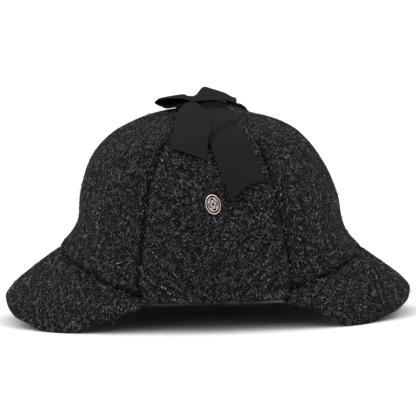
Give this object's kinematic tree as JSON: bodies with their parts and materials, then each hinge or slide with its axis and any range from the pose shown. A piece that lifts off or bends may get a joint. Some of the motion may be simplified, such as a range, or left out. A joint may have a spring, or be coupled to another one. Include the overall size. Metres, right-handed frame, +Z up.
{
  "type": "deerstalker hat",
  "caption": "Herringbone tweed deerstalker hat with a peak front and back and ear flaps folded up and tied on top with a ribbon bow.",
  "frame": {"origin": "the surface the hat stands on, under the middle of its length and width", "axes": "+Z up, -X towards the front peak, -Y towards the wearer's left"},
  "size_m": [0.3086, 0.1798, 0.1748],
  "materials": {
    "tweed": "charcoal and black herringbone wool tweed, slightly hairy",
    "ribbon": "matt black grosgrain ribbon",
    "badge": "antiqued silver with a raised rim"
  },
  "bodies": {
    "root": {"crown_panel_front_left": "tweed", "crown_panel_side_left": "tweed", "crown_panel_back_left": "tweed", "crown_panel_back_right": "tweed", "crown_panel_side_right": "tweed", "crown_panel_front_right": "tweed", "front_peak": "tweed", "back_peak": "tweed", "ear_flap_left": "tweed", "ear_flap_right": "tweed", "ribbon_lead_left": "ribbon", "ribbon_lead_right": "ribbon", "bow_knot": "ribbon", "bow_loop_front": "ribbon", "bow_loop_back": "ribbon", "bow_tail_front": "ribbon", "bow_tail_back": "ribbon", "badge": "badge"}
  },
  "joints": []
}
